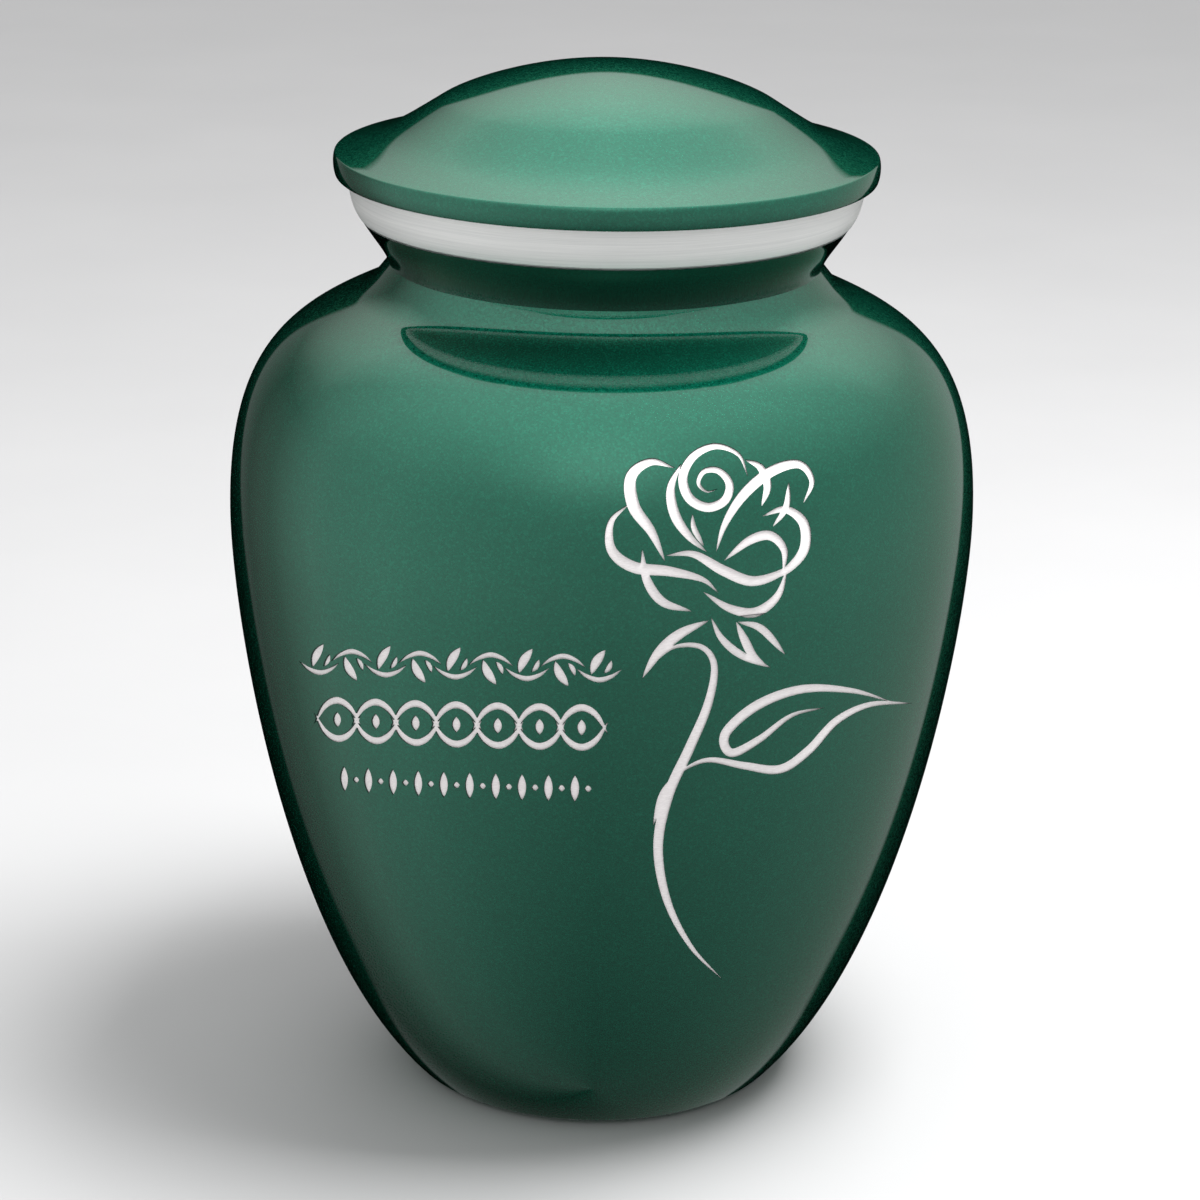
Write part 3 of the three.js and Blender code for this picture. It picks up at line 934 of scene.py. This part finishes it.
# piece, CAD node that it stands for, body, material slot in the record
PIECES = [
    (belly.piece("enamelled_belly", shell_materials), "belly_shell", "urn_body", "enamel"),
    (shoulder.piece("enamelled_shoulder", shell_materials), "shoulder_shell", "urn_body", "enamel"),
    (neck_piece(), "neck_collar", "urn_body", "enamel"),
    (band_piece(), "brushed_band", "urn_body", "brushed_band"),
    (mouth_ring_piece(), "mouth_thread_ring", "urn_body", "bare_metal"),
    (base_plate_piece(), "base_plate", "urn_body", "bare_metal"),
    (felt_piece(), "base_felt", "urn_body", "felt"),
    (ring_piece("sealing_gasket", "lid_gasket", 47.5 * MM, rubber), "lid_gasket", "seal", "gasket"),
    (ring_piece("lid_under_plate", "lid_flange_plate", 44 * MM, bare_metal), "lid_flange_plate",
     "lid", "bare_metal"),
    (lid_screw_piece(), "lid_thread_ring", "lid", "bare_metal"),
    (lid_piece(), "lid_dome", "lid", "enamel"),
]
for piece, node, body, slot in PIECES:
    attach(piece, body)
    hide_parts(node)


# ---------------------------------------------------------------- floor, light and camera

def pale_floor():
    """A plain floor that reflections don't show: the urn mirrors the tent below it instead."""
    half = 60.0
    n = Nodes("pale_floor")
    mottle = n.noise(n.place, scale=7, detail=4)
    n.colour(mottle, (0.3, (0.405, 0.405, 0.408)), (0.7, (0.42, 0.42, 0.423)))
    n.set(Roughness=0.55, Specular_IOR_Level=0.2)
    mesh = bpy.data.meshes.new("pale_floor")
    corners = [(-half, -half, 0), (half, -half, 0), (half, half, 0), (-half, half, 0)]
    mesh.from_pydata(corners, [], [(0, 1, 2, 3)])
    mesh.materials.append(n.material)
    floor = bpy.data.objects.new("pale_floor", mesh)
    bpy.context.scene.collection.objects.link(floor)
    floor.visible_glossy = False


def softbox(name, place, aim, side, watts):
    """A square area light that reflections don't show."""
    light = bpy.data.lights.new(name, "AREA")
    light.shape = "RECTANGLE"
    light.size = side
    light.size_y = side
    light.energy = watts
    made = bpy.data.objects.new(name, light)
    made.location = place
    made.rotation_euler = (Vector(aim) - Vector(place)).to_track_quat("-Z", "Y").to_euler()
    made.visible_glossy = False
    bpy.context.scene.collection.objects.link(made)


# The tent's brightness by height (0 straight down, 1 straight up), and a factor for it by bearing
# (0 and 1 in front, 0.25 on the left, 0.5 behind, 0.75 on the right), which fades out overhead.
TENT_BY_HEIGHT = ((0.0, 0.22), (0.02, 0.26), (0.11, 0.45), (0.24, 0.75), (0.38, 0.95), (0.6, 0.95),
                  (0.85, 1.1), (1.0, 1.35))
TENT_BY_BEARING = ((0.0, 0.56), (0.125, 0.78), (0.19, 0.88), (0.27, 0.75), (0.333, 0.28),
                   (0.38, 0.13), (0.5, 0.3), (0.6, 0.52), (0.67, 0.55), (0.77, 0.62), (0.88, 0.6),
                   (1.0, 0.56))
BEARING_ENDS = 0.9            # from this height up the bearing makes no difference
BEARING_FADE = 1.6            # how fast it comes in below
REAR_GAIN = 1.1               # how much brighter the tent is overhead behind the urn
REAR_NARROWS = 0.6            # how fast that falls off to the sides
GLOW = (-0.8, 0.6)            # direction in y and z of a brighter patch of the tent in front
GLOW_GAIN = 0.55
GLOW_POWER = 14.0
# A dark card with round corners stands behind the urn. Its sides lean apart towards the bottom.
# Its sizes are in the unit sphere of directions.
CARD_TOP = 0.39
CARD_SIDE = 0.42              # half width at the horizon
CARD_LEAN = 0.45
CARD_WIDEST = 0.55
CARD_BOTTOM = -0.64
CARD_CORNER = 0.2
CARD_EDGE = 35.0              # sharpness of the card's edge
CARD_LIGHT = 0.004            # share of the tent's light that the card leaves
BACKDROP = 0.44               # what the camera sees past the floor, as pale as the floor far away


def light_tent():
    """World light as a soft tent: bright above, dimmer below, with a dark card low behind."""
    world = bpy.data.worlds.new("light_tent")
    world.use_nodes = True
    bpy.context.scene.world = world
    n = Tree(world.node_tree)
    split = n.new("ShaderNodeSeparateXYZ")
    n.link(n.new("ShaderNodeTexCoord").outputs["Generated"], split.inputs[0])
    x, y, z = split.outputs
    bearing = n.math("MULTIPLY_ADD", n.math("ARCTAN2", x, y), 1 / TURN, 0.5)
    low = n.math("MULTIPLY", n.math("SUBTRACT", BEARING_ENDS, z), BEARING_FADE)
    low = n.math("MAXIMUM", n.math("MINIMUM", low, 1.0), 0.0)
    sideways = n.math("SUBTRACT", n.levels(bearing, *TENT_BY_BEARING), 1.0)
    sideways = n.math("MULTIPLY_ADD", sideways, low, 1.0)
    rear = n.math("MULTIPLY_ADD", n.math("ABSOLUTE", x), -REAR_NARROWS, n.math("MINIMUM", y, z))
    rear = n.math("MAXIMUM", n.math("MULTIPLY", rear, REAR_GAIN), 0.0)
    glow = n.math("ADD", n.math("MULTIPLY", y, GLOW[0]), n.math("MULTIPLY", z, GLOW[1]))
    glow = n.math("POWER", n.math("MAXIMUM", glow, 0.0), GLOW_POWER)
    gain = n.math("MULTIPLY_ADD", glow, GLOW_GAIN, n.math("ADD", rear, sideways))
    height = n.levels(n.math("MULTIPLY_ADD", z, 0.5, 0.5), *TENT_BY_HEIGHT)
    light = n.math("MULTIPLY", height, gain)
    side = n.math("MULTIPLY_ADD", z, -CARD_LEAN, CARD_SIDE)
    side = n.math("MINIMUM", side, CARD_WIDEST)
    past_side = n.math("SUBTRACT", n.math("ABSOLUTE", x), side)
    past_top = n.math("SUBTRACT", z, CARD_TOP)
    past_bottom = n.math("SUBTRACT", CARD_BOTTOM, z)
    past = n.math("SMOOTH_MAX", past_side, past_top, CARD_CORNER)
    past = n.math("SMOOTH_MAX", past, past_bottom, CARD_CORNER)
    past = n.math("MAXIMUM", past, n.math("MULTIPLY", y, -1.0))
    open_tent = n.math("MULTIPLY", past, CARD_EDGE)
    open_tent = n.math("MAXIMUM", n.math("MINIMUM", open_tent, 1.0), CARD_LIGHT)
    light = n.math("MULTIPLY", light, open_tent)
    seen = n.new("ShaderNodeLightPath").outputs["Is Camera Ray"]
    light = n.math("MULTIPLY_ADD", seen, n.math("SUBTRACT", BACKDROP, light), light)
    background = world.node_tree.nodes["Background"]
    background.inputs["Color"].default_value = (1, 1, 1, 1)
    n.link(light, background.inputs["Strength"])


def camera():
    """The camera stands in front, a little above, and rolled by less than a degree."""
    distance, height = 824.3 * MM, 392.0 * MM
    pitch, roll = 0.3203, 0.0160
    forward = Vector((0, math.cos(pitch), -math.sin(pitch)))
    level = Vector((1, 0, 0))
    upright = level.cross(forward)
    right = math.cos(roll) * level + math.sin(roll) * upright
    up = -math.sin(roll) * level + math.cos(roll) * upright
    lens = bpy.data.cameras.new("camera")
    lens.sensor_width = 36.0
    lens.lens = 107.2
    made = bpy.data.objects.new("camera", lens)
    made.matrix_world = Matrix.Translation((0, -distance, height)) @ Matrix(
        (right, up, -forward)).transposed().to_4x4()
    bpy.context.scene.collection.objects.link(made)
    bpy.context.scene.camera = made


bpy.context.scene.view_settings.view_transform = "Standard"
pale_floor()
light_tent()
softbox("top_softbox", place=(0.4, -0.05, 1.15), aim=(0, 0, 0.05), side=0.55, watts=26)
camera()
